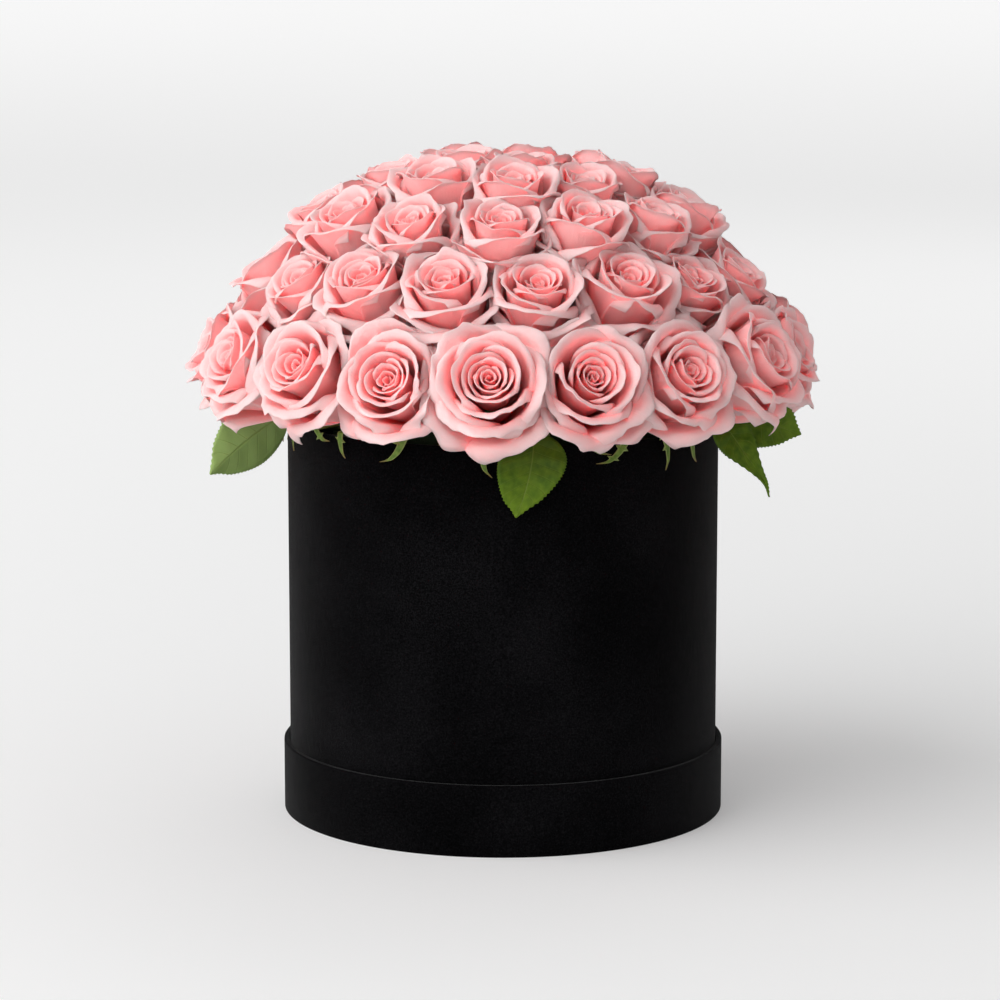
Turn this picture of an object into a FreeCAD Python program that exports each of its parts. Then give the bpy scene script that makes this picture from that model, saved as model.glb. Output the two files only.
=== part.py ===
import FreeCAD, Part
import math
import os

import Sketcher

# A round flower box covered in velvet. It stands in its own upturned lid and holds a
# watertight tub, two blocks of wet foam and a dome of roses whose stems are pushed into the foam.
# Millimetres, +Z up. The origin is the centre of the underside, and -Y is the front.

Vector = FreeCAD.Vector
ORIGIN, START, END = (-1, 1), 1, 2
FULL_TURN = 360

DIMENSIONS = {
    # Box and lid, both rolled from board, covered in velvet outside and lined with paper inside
    "box_diameter": 220.0,
    "box_height": 200.0,
    "board": 2.0,
    "velvet": 0.4,
    "lining": 0.2,
    "turn_in": 12.0,
    "lid_height": 36.0,
    "lid_clearance": 0.4,
    # Tub and foam
    "tub_height": 150.0,
    "tub_wall": 1.0,
    "tub_clearance": 1.0,
    "tub_lip": 0.6,
    "tub_lip_height": 4.0,
    "foam_clearance": 0.3,
    "foam_base_height": 115.0,
    "water_gap": 15.0,
    # One rose, measured along its own axis
    "stem_show": 12.4,
    "head_height": 52.0,
    "head_foot": 16.0,
    "head_shoulder_drop": 18.0,
    "head_rim_drop": 3.0,
    "petal_thickness": 2.2,
    "petal_groove": 9.0,
    "hip_length": 12.0,
    "hip_width": 12.0,
    "sepal_thickness": 0.8,
    "stem_width": 5.2,
    "stem_depth": 45.0,
    "stem_clearance": 0.1,
    # Rings of roses, counted from the lowest. Angles are in degrees
    "rim_gap": 4.0,
    "ring_step": 14.3,
    "rose_gap": 0.25,
    "top_gap": 0.2,
    "ring_1_count": 18,
    "ring_1_turn": -2.6,
    "ring_2_count": 16,
    "ring_2_turn": -13.4,
    "ring_3_count": 13,
    "ring_3_turn": -0.9,
    "ring_4_count": 9,
    "ring_4_turn": 5.4,
    "ring_5_count": 3,
    "ring_5_turn": 25.4,
    # Loose leaves, each pushed into the foam by its stalk
    "leaf_length": 42.0,
    "leaf_width": 32.0,
    "leaf_thickness": 0.7,
    "stalk_width": 2.0,
    "stalk_overlap": 3.0,
    "stalk_depth": 25.0,
    "leaf_gap": 3.0,
    "leaf_rise": 5.0,
}
RINGS = (1, 2, 3, 4, 5)
SEPALS = 5

# Each leaf grows between two roses of the lowest ring: the gap that it fills, counted from the front
# to the right, how far it droops and how far it is rolled about its own midrib, in degrees.
LEAVES = {
    "leaf_front": (0, 74, 0),
    "leaf_front_right": (3, 50, 50),
    "leaf_right": (4, 25, 75),
    "leaf_back_right": (6, 62, 15),
    "leaf_back": (8, 70, -12),
    "leaf_back_left": (-7, 48, -45),
    "leaf_left": (-4, 30, 80),
}

# Radii, from the box's outside inwards and from the lid's inside outwards
BOX_RADIUS = "(Dims.box_diameter / 2)"
WALL_OUTER = f"({BOX_RADIUS} - Dims.velvet)"
WALL_INNER = f"({WALL_OUTER} - Dims.board)"
LINED_INNER = f"({WALL_INNER} - Dims.lining)"
TURNED_INNER = f"({WALL_INNER} - Dims.velvet)"
LID_LINED = f"({BOX_RADIUS} + Dims.lid_clearance)"
LID_WALL_INNER = f"({LID_LINED} + Dims.velvet)"
LID_WALL_OUTER = f"({LID_WALL_INNER} + Dims.board)"
LID_RADIUS = f"({LID_WALL_OUTER} + Dims.velvet)"
TUB_OUTER = f"({TURNED_INNER} - Dims.tub_clearance)"
TUB_BODY = f"({TUB_OUTER} - Dims.tub_lip)"
TUB_INNER = f"({TUB_BODY} - Dims.tub_wall)"
FOAM_RADIUS = f"({TUB_INNER} - Dims.foam_clearance)"
CROWN_RADIUS = f"({TUB_INNER} - Dims.water_gap)"

# Heights, from the floor up
LID_BOARD_TOP = "(Dims.velvet + Dims.board)"
BOX_SEAT = f"({LID_BOARD_TOP} + Dims.lining)"
BASE_BOARD_BOTTOM = f"({BOX_SEAT} + Dims.lining)"
BASE_BOARD_TOP = f"({BASE_BOARD_BOTTOM} + Dims.board)"
TUB_SEAT = f"({BASE_BOARD_TOP} + Dims.lining)"
TUB_FLOOR = f"({TUB_SEAT} + Dims.tub_wall)"
TUB_RIM = f"({TUB_SEAT} + Dims.tub_height)"
CROWN_SEAT = f"({TUB_FLOOR} + Dims.foam_base_height)"
RIM = f"({BOX_SEAT} + Dims.box_height)"
WALL_TOP = f"({RIM} - Dims.velvet)"
LID_WALL_TOP = "(Dims.lid_height - Dims.velvet)"

# Every rose lies on a line from the bouquet's centre and keeps inside a cone about that line,
# so that neighbours never meet. The centre is low enough for the lowest roses to clear the rim.
SPREAD = "(Dims.ring_step / 2 - Dims.rose_gap)"
TOP_TILT = f"(asin(sin(Dims.ring_step / 2 + Dims.top_gap) / sin(180 / Dims.ring_{RINGS[-1]}_count)) / 1deg)"
LOWEST_TILT = f"({TOP_TILT} + {len(RINGS) - 1} * Dims.ring_step)"
CENTRE = f"({RIM} + Dims.rim_gap - {BOX_RADIUS} / tan({LOWEST_TILT} + {SPREAD}))"
STEM_FOOT = f"({CROWN_RADIUS} - Dims.stem_depth)"
HIP_FOOT = f"({CROWN_RADIUS} + Dims.stem_show)"
HEAD_FOOT = f"({HIP_FOOT} + Dims.hip_length)"
HEAD_FACE = f"({HEAD_FOOT} + Dims.head_height)"

# Stalks run in the gaps between the lowest roses, from inside the foam out over the rim
STALK_ROOT = f"({CROWN_RADIUS} - Dims.stalk_depth)"
STALK_ROOT_HEIGHT = f"({RIM} - 2 * Dims.leaf_rise)"
STALK_TIP_HEIGHT = f"({RIM} + Dims.leaf_rise)"
STALK_CLIMB = f"({STALK_TIP_HEIGHT} - {STALK_ROOT_HEIGHT})"

doc = FreeCAD.newDocument("flower_box")
dims = doc.addObject("Spreadsheet::Sheet", "Dims")
for row, (alias, size) in enumerate(DIMENSIONS.items(), start=1):
    dims.set(f"A{row}", alias)
    dims.set(f"B{row}", str(size))
    dims.setAlias(f"B{row}", alias)
doc.recompute()


def value(expression):
    """The number that an expression on the sheet gives now."""
    found = dims.evalExpression(expression)
    return float(getattr(found, "Value", found))


def new_body(label):
    body = doc.addObject("PartDesign::Body", label)
    body.Label = label
    body.AllowCompound = True
    return body


def origin_feature(body, role):
    return next(feature for feature in body.Origin.OriginFeatures if feature.Role == role)


def new_sketch(body, plane, name):
    sketch = body.newObject("Sketcher::SketchObject", f"{body.Name}_{name}")
    sketch.AttachmentSupport = [(origin_feature(body, plane), "")]
    sketch.MapMode = "FlatFace"
    return sketch


def bind(sketch, constraint, expression):
    sketch.setExpression(f"Constraints[{sketch.addConstraint(constraint)}]", expression)


def arc_between(start, end, radius):
    """A minor arc from start to end that bulges to the right of its direction."""
    chord = end - start
    sag = radius - math.sqrt(radius**2 - (chord.Length / 2) ** 2)
    right = Vector(chord.y, -chord.x, 0).normalize()
    return Part.Arc(start, start + chord * 0.5 + right * sag, end)


def outline(sketch, corners, arcs=None):
    """Draws a closed outline through corners, pairs of expressions, and holds every corner to them.
    arcs gives the radius of each side that isn't straight, by the number of its first corner."""
    arcs = arcs or {}
    points = [Vector(value(x), value(y), 0) for x, y in corners]
    following = points[1:] + points[:1]
    for side, (start, end) in enumerate(zip(points, following)):
        edge = Part.LineSegment(start, end)
        if side in arcs:
            edge = arc_between(start, end, value(arcs[side]))
        sketch.addGeometry(edge)
    ends = []
    for side, start in enumerate(points):
        forward = (sketch.getPoint(side, START) - start).Length < 1e-6
        ends.append((START, END) if forward else (END, START))
    for side, (x, y) in enumerate(corners):
        after = (side + 1) % len(corners)
        first, last = ends[side]
        sketch.addConstraint(Sketcher.Constraint("Coincident", side, last, after, ends[after][0]))
        bind(sketch, Sketcher.Constraint("DistanceX", *ORIGIN, side, first, points[side].x), x)
        bind(sketch, Sketcher.Constraint("DistanceY", *ORIGIN, side, first, points[side].y), y)
        if side in arcs:
            bind(sketch, Sketcher.Constraint("Radius", side, value(arcs[side])), arcs[side])


def revolve(body, sketch):
    """Turns a sketch about its own vertical axis."""
    feature = body.newObject("PartDesign::Revolution", f"{body.Name}_turned")
    feature.Profile = sketch
    feature.ReferenceAxis = (sketch, ["V_Axis"])
    feature.Angle = FULL_TURN
    return feature


def turned(label, corners, arcs=None):
    """A piece that is round about the box's axis, from half of its section: radius, then height."""
    body = new_body(label)
    sketch = new_sketch(body, "XZ_Plane", "section")
    outline(sketch, corners, arcs)
    revolve(body, sketch)
    return body


def disc(label, radius, bottom, thickness):
    top = f"({bottom} + {thickness})"
    return turned(label, [("0", bottom), (radius, bottom), (radius, top), ("0", top)])


def band(label, inner, outer, bottom, top):
    return turned(label, [(inner, bottom), (outer, bottom), (outer, top), (inner, top)])


def velvet_sleeve(label, outer, wall_outer, wall_inner, bottom, rim, wall_top):
    """Velvet glued round a wall, folded over the wall's top edge and a little way down inside it."""
    inner = f"({wall_inner} - Dims.velvet)"
    fold_end = f"({rim} - Dims.turn_in)"
    return turned(
        label,
        [
            (wall_outer, bottom),
            (outer, bottom),
            (outer, rim),
            (inner, rim),
            (inner, fold_end),
            (wall_inner, fold_end),
            (wall_inner, wall_top),
            (wall_outer, wall_top),
        ],
    )


def make_lid():
    """The lid lies upside down: its panel is on the floor and its rim stands up round the box."""
    fold_end = "(Dims.lid_height - Dims.turn_in)"
    return [
        disc("lid_panel_velvet", LID_WALL_OUTER, "0", "Dims.velvet"),
        disc("lid_panel_board", LID_WALL_INNER, "Dims.velvet", "Dims.board"),
        disc("lid_panel_lining", LID_LINED, LID_BOARD_TOP, "Dims.lining"),
        band("lid_rim_board", LID_WALL_INNER, LID_WALL_OUTER, "Dims.velvet", LID_WALL_TOP),
        velvet_sleeve(
            "lid_rim_velvet", LID_RADIUS, LID_WALL_OUTER, LID_WALL_INNER, "0", "Dims.lid_height", LID_WALL_TOP
        ),
        band("lid_rim_lining", f"({LID_WALL_INNER} - Dims.lining)", LID_WALL_INNER, BOX_SEAT, fold_end),
    ]


def make_box():
    fold_end = f"({RIM} - Dims.turn_in)"
    return [
        disc("box_base_paper", WALL_OUTER, BOX_SEAT, "Dims.lining"),
        disc("box_base_board", WALL_INNER, BASE_BOARD_BOTTOM, "Dims.board"),
        disc("box_base_lining", WALL_INNER, BASE_BOARD_TOP, "Dims.lining"),
        band("box_wall_board", WALL_INNER, WALL_OUTER, BASE_BOARD_BOTTOM, WALL_TOP),
        velvet_sleeve("box_wall_velvet", BOX_RADIUS, WALL_OUTER, WALL_INNER, BOX_SEAT, RIM, WALL_TOP),
        band("box_wall_lining", LINED_INNER, WALL_INNER, TUB_SEAT, fold_end),
    ]


def make_tub():
    lip_bottom = f"({TUB_RIM} - Dims.tub_lip_height)"
    return turned(
        "liner_tub",
        [
            ("0", TUB_SEAT),
            (TUB_BODY, TUB_SEAT),
            (TUB_BODY, lip_bottom),
            (TUB_OUTER, lip_bottom),
            (TUB_OUTER, TUB_RIM),
            (TUB_INNER, TUB_RIM),
            (TUB_INNER, TUB_FLOOR),
            ("0", TUB_FLOOR),
        ],
    )


def place_in_ring(sketch, ring):
    """Stands a sketch's vertical axis along the axis of a ring's first rose, from the bouquet's centre."""
    sketch.AttachmentOffset = FreeCAD.Placement(Vector(), FreeCAD.Rotation(Vector(0, 0, -1), 1))
    sketch.setExpression("AttachmentOffset.Base.y", CENTRE)
    sketch.setExpression("AttachmentOffset.Rotation.Angle", ring_tilt(ring))


def ring_tilt(ring):
    return f"({TOP_TILT} + {len(RINGS) - ring} * Dims.ring_step)"


def repeat_round_ring(body, features, ring):
    """Copies features to every rose of a ring and turns the ring so that its first rose is at its place."""
    pattern = body.newObject("PartDesign::PolarPattern", f"{body.Name}_ring")
    pattern.Originals = features
    pattern.Axis = (origin_feature(body, "Z_Axis"), [""])
    pattern.Angle = FULL_TURN
    pattern.setExpression("Occurrences", f"Dims.ring_{ring}_count")
    body.Tip = pattern
    body.Placement = FreeCAD.Placement(Vector(), FreeCAD.Rotation(Vector(0, 0, 1), 1))
    body.setExpression("Placement.Rotation.Angle", f"Dims.ring_{ring}_turn - 90")
    return body


def in_cone(distance):
    """The radius of a rose's cone at a distance from the bouquet's centre."""
    return f"({distance} * tan({SPREAD}))"


def ring_of_turned(label, ring, corners, arcs=None):
    body = new_body(label)
    sketch = new_sketch(body, "XZ_Plane", "section")
    place_in_ring(sketch, ring)
    outline(sketch, corners, arcs)
    doc.recompute()
    return repeat_round_ring(body, [revolve(body, sketch)], ring)


def make_heads(ring):
    """Rose heads: a bud inside two cups of petals, with a groove between each and the next. The round
    side of a head runs into its cone at the shoulder without a corner, so it stays inside the cone."""
    shoulder = f"({HEAD_FACE} - Dims.head_shoulder_drop)"
    rim = f"({HEAD_FACE} - Dims.head_rim_drop)"
    groove = f"({rim} - Dims.petal_groove)"
    edge = "Dims.petal_thickness"
    outer = in_cone(rim)
    widening = f"({in_cone(shoulder)} - Dims.head_foot / 2)"
    rise = "(Dims.head_height - Dims.head_shoulder_drop)"
    lean_off_cone = f"({widening} * cos({SPREAD}) - {rise} * sin({SPREAD}))"
    side_radius = f"(({widening} ^ 2 + {rise} ^ 2) / (2 * {lean_off_cone}))"
    return ring_of_turned(
        f"ring_{ring}_rose_heads",
        ring,
        [
            ("0", HEAD_FOOT),
            ("Dims.head_foot / 2", HEAD_FOOT),
            (in_cone(shoulder), shoulder),
            (outer, rim),
            (f"({outer} - {edge})", rim),
            (f"({outer} - 3 * {edge})", groove),
            (f"({outer} - 4 * {edge})", HEAD_FACE),
            (f"({outer} - 5 * {edge})", HEAD_FACE),
            (f"({outer} - 6 * {edge})", groove),
            (f"({outer} - 7 * {edge})", HEAD_FACE),
            ("0", HEAD_FACE),
        ],
        {1: side_radius},
    )


def make_calyxes(ring):
    """The green hip under each head, with a star of pointed sepals against the petals."""
    body = new_body(f"ring_{ring}_calyxes")
    section = new_sketch(body, "XZ_Plane", "section")
    place_in_ring(section, ring)
    shoulder = f"({HEAD_FOOT} - Dims.hip_length / 3)"
    outline(
        section,
        [
            ("0", HIP_FOOT),
            ("Dims.stem_width / 2", HIP_FOOT),
            ("Dims.hip_width / 2", shoulder),
            ("Dims.hip_width / 2", HEAD_FOOT),
            ("0", HEAD_FOOT),
        ],
    )
    doc.recompute()
    hip = revolve(body, section)
    star = new_sketch(body, "XY_Plane", "star")
    star.AttachmentOffset = FreeCAD.Placement(Vector(), FreeCAD.Rotation(Vector(0, 1, 0), 1))
    star.setExpression("AttachmentOffset.Base.x", f"{HEAD_FOOT} * sin({ring_tilt(ring)})")
    star.setExpression("AttachmentOffset.Base.z", f"{CENTRE} + {HEAD_FOOT} * cos({ring_tilt(ring)})")
    star.setExpression("AttachmentOffset.Rotation.Angle", ring_tilt(ring))
    reach = in_cone(f"({HEAD_FOOT} - Dims.sepal_thickness)")
    points = []
    for sepal in range(SEPALS):
        tip = sepal * FULL_TURN / SEPALS
        notch = tip + FULL_TURN / SEPALS / 2
        points.append((f"{reach} * cos({tip})", f"{reach} * sin({tip})"))
        points.append((f"Dims.hip_width / 2 * cos({notch})", f"Dims.hip_width / 2 * sin({notch})"))
    outline(star, points)
    doc.recompute()
    sepals = body.newObject("PartDesign::Pad", f"{body.Name}_sepals")
    sepals.Profile = star
    sepals.Reversed = True
    sepals.setExpression("Length", "Dims.sepal_thickness")
    return repeat_round_ring(body, [hip, sepals], ring)


def make_stems(ring, label, radius):
    corners = [("0", STEM_FOOT), (radius, STEM_FOOT), (radius, HIP_FOOT), ("0", HIP_FOOT)]
    return ring_of_turned(label, ring, corners)


def leaf_azimuth(gap):
    """The direction of the middle of a gap between two roses of the lowest ring."""
    return f"(Dims.ring_1_turn + {gap + 0.5} * {FULL_TURN} / Dims.ring_1_count - 90)"


def place_at(piece, gap, radius, height, rotation):
    """Puts a piece at a radius and height in a gap, turned by rotation and then to face that gap."""
    azimuth = leaf_azimuth(gap)
    spot = f"vector({radius} * cos({azimuth}); {radius} * sin({azimuth}); {height})"
    piece.setExpression("Placement", f"placement({spot}; rotation(vector(0; 0; 1); {azimuth}) * {rotation})")


def stalk_tip(droop, roll):
    """How far out a leaf hangs: the more its blade is rolled, the nearer one edge comes to the box."""
    return f"({BOX_RADIUS} + Dims.leaf_gap + Dims.leaf_width / 5 * sin({droop}) * sin({abs(roll)}))"


def make_stalk(label, leaf, radius):
    gap, droop, roll = leaf
    run = f"({stalk_tip(droop, roll)} - {STALK_ROOT})"
    stalk = doc.addObject("Part::Cylinder", label)
    stalk.setExpression("Radius", radius)
    stalk.setExpression("Height", f"sqrt({run} ^ 2 + {STALK_CLIMB} ^ 2)")
    lean = f"rotation(vector(0; 1; 0); atan({run} / {STALK_CLIMB}))"
    place_at(stalk, gap, STALK_ROOT, STALK_ROOT_HEIGHT, lean)
    return stalk


def make_leaf(label, leaf):
    """A pointed blade that hangs from the outer end of its stalk."""
    gap, droop, roll = leaf
    blade = new_body(f"{label}_blade")
    sketch = new_sketch(blade, "XY_Plane", "outline")
    side = "((Dims.leaf_length ^ 2 + Dims.leaf_width ^ 2) / (4 * Dims.leaf_width))"
    base = "-Dims.stalk_overlap"
    outline(sketch, [(base, "0"), (f"({base} + Dims.leaf_length)", "0")], {0: side, 1: side})
    pad = blade.newObject("PartDesign::Pad", f"{label}_pad")
    pad.Profile = sketch
    pad.Midplane = True
    pad.setExpression("Length", "Dims.leaf_thickness")
    hang = f"rotation(vector(0; 1; 0); {droop}) * rotation(vector(1; 0; 0); {roll})"
    place_at(blade, gap, stalk_tip(droop, roll), STALK_TIP_HEIGHT, hang)
    whole = doc.addObject("Part::Fuse", label)
    whole.Base = make_stalk(f"{label}_stalk", leaf, "Dims.stalk_width / 2")
    whole.Tool = blade
    whole.Label = label
    return whole


def make_foam():
    """A round block that fills the tub, and a domed crown on it that the stems and stalks go into."""
    base = disc("foam_base", FOAM_RADIUS, TUB_FLOOR, "Dims.foam_base_height")
    dome = turned(
        "foam_dome",
        [("0", CROWN_SEAT), (CROWN_RADIUS, CROWN_SEAT), (CROWN_RADIUS, CENTRE), ("0", f"({CENTRE} + {CROWN_RADIUS})")],
        {2: CROWN_RADIUS},
    )
    stem_hole = "(Dims.stem_width / 2 + Dims.stem_clearance)"
    stalk_hole = "(Dims.stalk_width / 2 + Dims.stem_clearance)"
    holes = doc.addObject("Part::Compound", "foam_holes")
    holes.Links = [make_stems(ring, f"ring_{ring}_stem_holes", stem_hole) for ring in RINGS] + [
        make_stalk(f"{label}_hole", leaf, stalk_hole) for label, leaf in LEAVES.items()
    ]
    crown = doc.addObject("Part::Cut", "foam_crown")
    crown.Label = "foam_crown"
    crown.Base = dome
    crown.Tool = holes
    return [base, crown]


def check(pieces):
    """Stops the build if anything in the document failed or a piece has no valid shape."""
    for item in doc.Objects:
        if {"Invalid", "Error"} & set(item.State):
            raise RuntimeError(f"{item.Label} failed: {item.State} {item.getStatusString()}")
    for piece in pieces:
        if piece.Shape.isNull() or not piece.Shape.isValid() or not piece.Shape.Solids:
            raise RuntimeError(f"{piece.Label} has no valid shape")


def main():
    pieces = make_lid() + make_box() + [make_tub()] + make_foam()
    for ring in RINGS:
        pieces += [make_heads(ring), make_calyxes(ring)]
        pieces.append(make_stems(ring, f"ring_{ring}_stems", "Dims.stem_width / 2"))
    pieces += [make_leaf(label, leaf) for label, leaf in LEAVES.items()]
    doc.recompute()
    check(pieces)
    os.makedirs("parts", exist_ok=True)
    for piece in pieces:
        piece.Shape.exportStep(f"parts/{piece.Label}.step")
    print(len(pieces), "nodes;", sum(len(piece.Shape.Solids) for piece in pieces), "solids")
    print("bouquet centre", round(value(CENTRE), 2), "rim", round(value(RIM), 2))


main()
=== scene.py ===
import math
import random

import bmesh
import bpy
import numpy as np
from mathutils import Matrix, Vector


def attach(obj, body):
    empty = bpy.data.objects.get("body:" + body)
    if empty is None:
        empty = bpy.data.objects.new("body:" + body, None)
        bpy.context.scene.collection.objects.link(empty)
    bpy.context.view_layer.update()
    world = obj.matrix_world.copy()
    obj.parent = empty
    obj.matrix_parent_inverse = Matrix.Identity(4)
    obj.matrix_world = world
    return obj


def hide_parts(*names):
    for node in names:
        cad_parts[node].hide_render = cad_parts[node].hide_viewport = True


# A round velvet flower box in its upturned lid, filled with a dome of pale pink roses.
# The roses, calyxes, stems, leaves and velvet are built here, in millimetres until they are placed.
# The boards, linings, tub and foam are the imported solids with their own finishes.

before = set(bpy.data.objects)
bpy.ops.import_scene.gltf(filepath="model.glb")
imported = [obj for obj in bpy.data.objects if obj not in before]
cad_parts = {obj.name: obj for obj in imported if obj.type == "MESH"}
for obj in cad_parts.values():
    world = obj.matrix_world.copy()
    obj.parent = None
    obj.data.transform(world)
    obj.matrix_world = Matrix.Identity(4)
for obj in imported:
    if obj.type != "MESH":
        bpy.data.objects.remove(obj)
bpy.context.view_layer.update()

MM = 0.001
UP = Vector((0, 0, 1))

# The box, as the source builds it
BOX_RADIUS = 110.0
RIM = 202.6
BOX_SEAT = 2.6
LID_HEIGHT = 36.0
LID_RADIUS = 113.2
LID_BORE = 110.4
BOARD = 2.0
VELVET = 0.4
TURN_IN = 12.0
SEAM_EDGE, SEAM_WIDTH, SEAM_RISE = 0.5, 11.0, 0.4

# The bouquet: every stem points at one centre, and each ring is a count, a turn and a tilt
CENTRE = Vector((0, 0, 172.12))
STEM_FOOT = 44.6
CROWN = 89.6
HIP_FOOT = 102.0
HEAD_FOOT = 114.0
RINGS = {
    1: (18, -2.6, 65.69),
    2: (16, -13.4, 51.39),
    3: (13, -0.9, 37.09),
    4: (9, 5.4, 22.79),
    5: (3, 25.4, 8.49),
}
# Heads nod up from their stems by these degrees, most in the second ring
LEAN = {1: 1.0, 2: 20.0, 3: 12.0, 4: 6.0, 5: 2.0}
# Heads at the two sides nod less than those at the front and back, by up to this many degrees
SPREAD = {1: 0.0, 2: 9.0, 3: 4.0, 4: 0.0, 5: 0.0}
# How far the guard petals open, and how much lower they sit
FLARE = {1: 0.5, 2: 0.4, 3: 0.55, 4: 0.6, 5: 0.8}
GUARD_DROP = {1: 1.0, 2: 3.0, 3: 4.0, 4: 4.0, 5: 2.5}
# How tall the heads are for their width, how much painted light pales the upper rings as if lit from above,
# and how large
STRETCH = {1: 1.06, 2: 1.02, 3: 1.15, 4: 1.16, 5: 1.02}
UPPER_PAINTED_LIGHT = {1: 0.0, 2: 0.25, 3: 0.6, 4: 0.8, 5: 0.9}
RING_SIZE = {1: 1.09, 2: 1.03, 3: 1.0, 4: 1.0, 5: 1.0}
# Roses that the front shows as larger or smaller than the rest, by ring and number
SIZES = {(1, 0): 1.14, (1, 1): 1.08, (1, 17): 1.03, (1, 16): 1.09, (1, 2): 1.07}
# A larger rose takes this much room, in millimetres, from one that is smaller by its whole size
ROOM_SHARE = 40.0
# Where a head's widest part is, above its foot, how near another head has to be to press on it, and
# over how many millimetres it then gives way
HEAD_MIDDLE = 34.0
NEIGHBOUR_ANGLE = math.radians(26.0)
PRESS_SOFTNESS = 3.0
# What petals, sepals and leaves keep clear of the box
CLEARANCE = 3.0

# Leaves: the gap of the lowest ring that each fills, its droop and its roll
LEAVES = {
    "leaf_front": (0, 74, 0),
    "leaf_front_right": (3, 50, 50),
    "leaf_right": (4, 25, 75),
    "leaf_back_right": (6, 62, 15),
    "leaf_back": (8, 70, -12),
    "leaf_back_left": (-7, 48, -45),
    "leaf_left": (-4, 30, 80),
}
# How far each leaf's tip sways to one side, and how long its drawn-out tip is
LEAF_SWAY = {"leaf_front": -9.0, "leaf_back": 6.0, "leaf_left": -4.0, "leaf_right": 4.0}
LEAF_TAIL = {"leaf_front_right": 12.0}
# Length and width of a leaf against the usual one
LEAF_SIZE = {"leaf_left": (1.18, 1.1), "leaf_front_right": (0.85, 0.62), "leaf_front": (0.95, 1.06)}
# How much painted light each leaf has: a pale green that stands in for lamp light and gloss, most on the
# leaf at the left
LEAF_PAINTED_LIGHT = {"leaf_left": 0.8, "leaf_back": 0.3}
LEAF_LENGTH, LEAF_WIDTH, STALK_OVERLAP = 42.0, 32.0, 3.0
LEAF_GAP, LEAF_RISE, STALK_ROOT, STALK_ROOT_HEIGHT = 3.0, 5.0, 64.6, 192.6
LEAF_COLUMNS, LEAF_ROWS, LEAF_TOOTH = 14, 56, 0.55
SEPAL_COLUMNS, SEPAL_ROWS, SEPAL_WIDTH, SEPAL_HAIR = 4, 40, 3.8, 2.0
LEAF_THICKNESS, SEPAL_THICKNESS = 0.45, 0.4

# Round pieces are spun in this many steps, and points closer than this many millimetres are one
HIP_STEPS, STEM_STEPS, THORN_STEPS, STALK_STEPS, SLEEVE_STEPS = 12, 10, 6, 8, 192
MERGE = 0.001

# The studio, in metres: lamps by place, size and watts, all aimed at one point
LAMP_AIM = (0.0, 0.0, 0.2)
LAMPS = {
    "key": ((-2.2, -1.1, 2.0), 4.2, 78.0),
    "front": ((-1.5, -2.4, 0.75), 3.2, 26.0),
    "back": ((0.8, 2.2, 2.2), 3.0, 11.0),
}
# The sky as a light, and as it is seen
SKY_LIGHT, SKY_SEEN = 0.32, 0.97
# Half the floor's width, its own glow near the box and far away, and how much of the near glow is left
# after each metre
FLOOR_HALF, FLOOR_GLOW_NEAR, FLOOR_GLOW_FAR, FLOOR_FADE = 30.0, 0.17, 0.65, 0.78
CAMERA_PLACE = (-0.00152, -1.8, 0.457)
CAMERA_DOWN = math.radians(9.41)
CAMERA_LENS, CAMERA_SENSOR, CAMERA_REACH = 127.98, 36.0, 200.0


# Materials

def new_material(name):
    material = bpy.data.materials.new(name)
    material.use_nodes = True
    tree = material.node_tree
    return material, tree, tree.nodes["Principled BSDF"]


def add(tree, kind, inputs=None, **settings):
    """Adds a node, sets its properties, and sets or links its inputs."""
    made = tree.nodes.new(kind)
    for name, setting in settings.items():
        setattr(made, name, setting)
    for name, given in (inputs or {}).items():
        if isinstance(given, bpy.types.NodeSocket):
            tree.links.new(given, made.inputs[name])
        else:
            made.inputs[name].default_value = given
    return made


def math_of(tree, operation, first, second=0.0, clamp=False):
    inputs = {0: first, 1: second}
    return add(tree, "ShaderNodeMath", inputs, operation=operation, use_clamp=clamp).outputs[0]


def times(tree, first, second, clamp=False):
    return math_of(tree, "MULTIPLY", first, second, clamp)


def shares(tree, first, first_share, second, second_share):
    """The sum of two values, each times its share."""
    return math_of(tree, "ADD", times(tree, first, first_share), times(tree, second, second_share))


def span(tree, value, low, high, at_low=0.0, at_high=1.0):
    """Carries a value from the range low to high over to at_low to at_high, and holds it at both ends."""
    inputs = {0: value, 1: low, 2: high, 3: at_low, 4: at_high}
    return add(tree, "ShaderNodeMapRange", inputs).outputs[0]


def attribute(tree, name):
    return add(tree, "ShaderNodeAttribute", attribute_name=name).outputs["Fac"]


def sheet_coords(tree):
    """A sheet's own map, and its two parts: across and along."""
    uv = add(tree, "ShaderNodeTexCoord").outputs["UV"]
    split = add(tree, "ShaderNodeSeparateXYZ", {0: uv})
    return uv, split.outputs[0], split.outputs[1]


def from_midline(tree, across):
    """Nought on a sheet's middle line and one at its two sides."""
    return times(tree, math_of(tree, "ABSOLUTE", math_of(tree, "SUBTRACT", across, 0.5)), 2.0)


def set_inputs(shader, settings):
    for name, setting in settings.items():
        shader.inputs[name].default_value = setting


def ramp(tree, factor, stops):
    """A colour ramp from pairs of place and colour."""
    made = add(tree, "ShaderNodeValToRGB", {"Fac": factor})
    elements = made.color_ramp.elements
    while len(elements) < len(stops):
        elements.new(0.5)
    for element, (place, colour) in zip(elements, stops):
        element.position = place
        element.color = (*colour, 1.0)
    return made.outputs["Color"]


def noise(tree, vector, scale, detail=3.0, roughness=0.5):
    inputs = {"Vector": vector, "Scale": scale, "Detail": detail, "Roughness": roughness}
    return add(tree, "ShaderNodeTexNoise", inputs).outputs["Fac"]


def blend(tree, factor, first, second):
    made = add(tree, "ShaderNodeMix", data_type="RGBA", blend_type="MIX")
    for place, given in ((0, factor), (6, first), (7, second)):
        if isinstance(given, bpy.types.NodeSocket):
            tree.links.new(given, made.inputs[place])
        else:
            made.inputs[place].default_value = given
    return made.outputs[2]


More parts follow.
